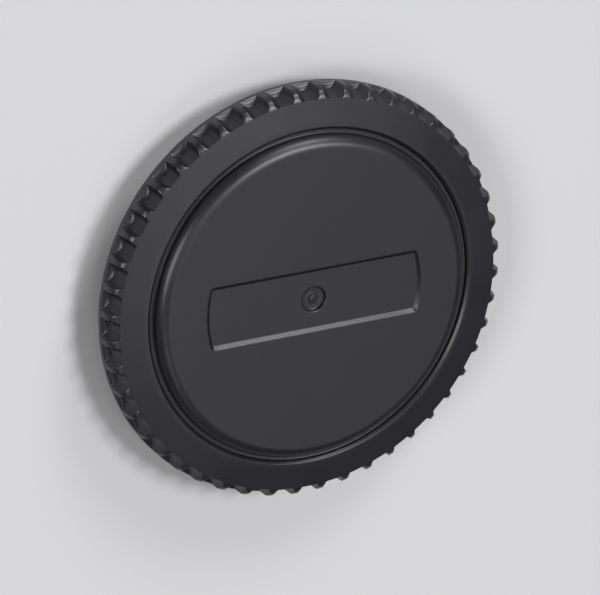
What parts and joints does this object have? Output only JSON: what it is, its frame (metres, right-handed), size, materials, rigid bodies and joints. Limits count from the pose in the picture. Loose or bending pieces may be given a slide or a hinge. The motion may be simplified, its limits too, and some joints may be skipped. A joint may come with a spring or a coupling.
{
  "type": "camera body cap",
  "caption": "Round black plastic cap that closes a camera's bayonet lens mount, with a fluted gripping rim and a bare nameplate recess.",
  "frame": {"origin": "middle of the collar's free end, on which the cap rests when it lies face up", "axes": "+Z along the cap's axis out of its front face, +X along the nameplate recess"},
  "size_m": [0.067, 0.067, 0.0113],
  "materials": {
    "black_plastic": "satin moulded black"
  },
  "bodies": {
    "root": {"body_cap": "black_plastic"}
  },
  "joints": []
}
